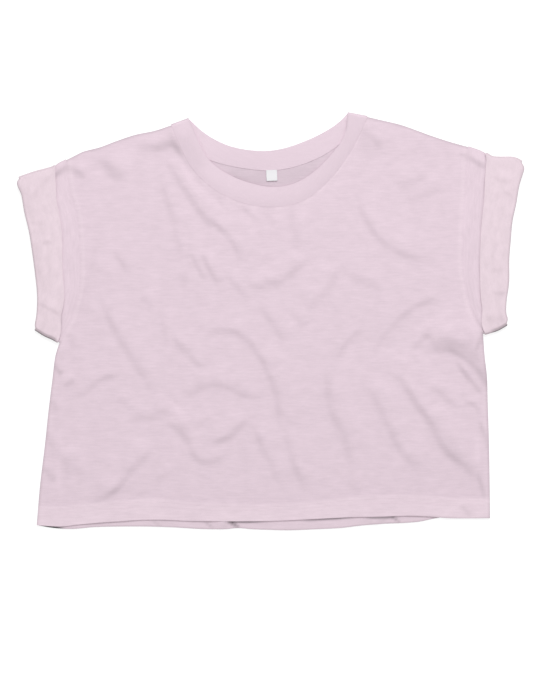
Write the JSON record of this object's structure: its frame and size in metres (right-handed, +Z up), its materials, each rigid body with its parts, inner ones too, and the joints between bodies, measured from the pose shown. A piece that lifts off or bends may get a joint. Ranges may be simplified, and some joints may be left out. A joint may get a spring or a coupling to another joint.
{
  "type": "crop top",
  "caption": "Boxy short-sleeved crop top in light jersey, laid flat, with turned-up cuffs, a wide ribbed neckband and a hemmed bottom edge.",
  "frame": {"origin": "middle of the laid-out garment's box, on the surface that it lies on", "axes": "+X across the garment from its right sleeve to its left sleeve, +Y from the hem to the neck, +Z up from the surface, out of the front"},
  "size_m": [0.6046, 0.5004, 0.0069],
  "materials": {
    "body_jersey": "light pink single jersey, matte",
    "cuff_jersey": "the same jersey seen from its reverse, a little lighter",
    "neck_rib": "light pink doubled rib, matte",
    "label_satin": "white woven satin, blank"
  },
  "bodies": {
    "root": {"back_panel": "body_jersey", "front_panel": "body_jersey", "sleeve_left": "body_jersey", "cuff_left": "cuff_jersey", "sleeve_right": "body_jersey", "cuff_right": "cuff_jersey", "neckband": "neck_rib", "size_label": "label_satin"}
  },
  "joints": []
}
